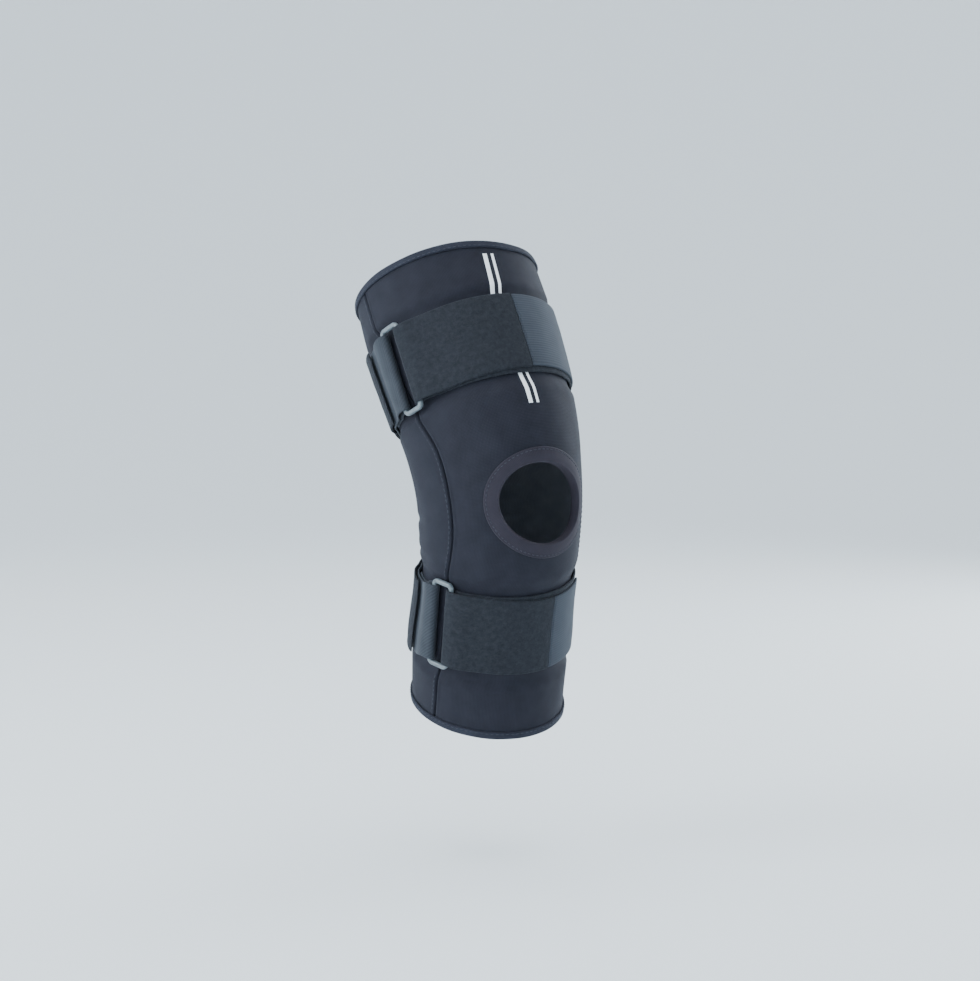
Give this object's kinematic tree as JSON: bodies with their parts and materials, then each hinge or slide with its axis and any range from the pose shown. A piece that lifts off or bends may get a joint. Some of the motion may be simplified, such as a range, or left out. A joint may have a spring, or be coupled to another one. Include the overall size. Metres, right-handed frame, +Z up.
{
  "type": "knee support",
  "caption": "Closed cushioned knee sleeve with an open kneecap, bound hems and wrap straps that double back through loops above and below the knee, shown as worn on a bent knee.",
  "frame": {"origin": "middle of the hollow that the knee fills, on the leg's axis at the bend", "axes": "+Z up as worn with the knee a little bent, -Y the side of the kneecap, -X the outer side of a right leg, where the loops are"},
  "size_m": [0.1366, 0.1728, 0.3242],
  "materials": {
    "sleeve_fabric": "dark slate knit jersey bonded over cushioned foam rubber, matte",
    "hem_fabric": "dark slate stretch binding, matte",
    "band_fabric": "near-black stretch binding, smooth",
    "webbing": "blue-grey woven webbing with a slight sheen",
    "strap_pile": "dark green-grey brushed pile, soft",
    "hook_tab": "blue-grey woven tape with fine ribs, a little smoother than the strap",
    "loop_plastic": "grey moulded plastic, satin"
  },
  "bodies": {
    "root": {"front_panel": "sleeve_fabric", "back_panel": "sleeve_fabric", "top_hem": "hem_fabric", "bottom_hem": "hem_fabric", "kneecap_band": "band_fabric", "upper_loop": "loop_plastic", "lower_loop": "loop_plastic", "upper_loop_holder": "webbing", "lower_loop_holder": "webbing", "upper_strap": "strap_pile", "lower_strap": "strap_pile", "upper_hook_tab": "hook_tab", "lower_hook_tab": "hook_tab"}
  },
  "joints": []
}
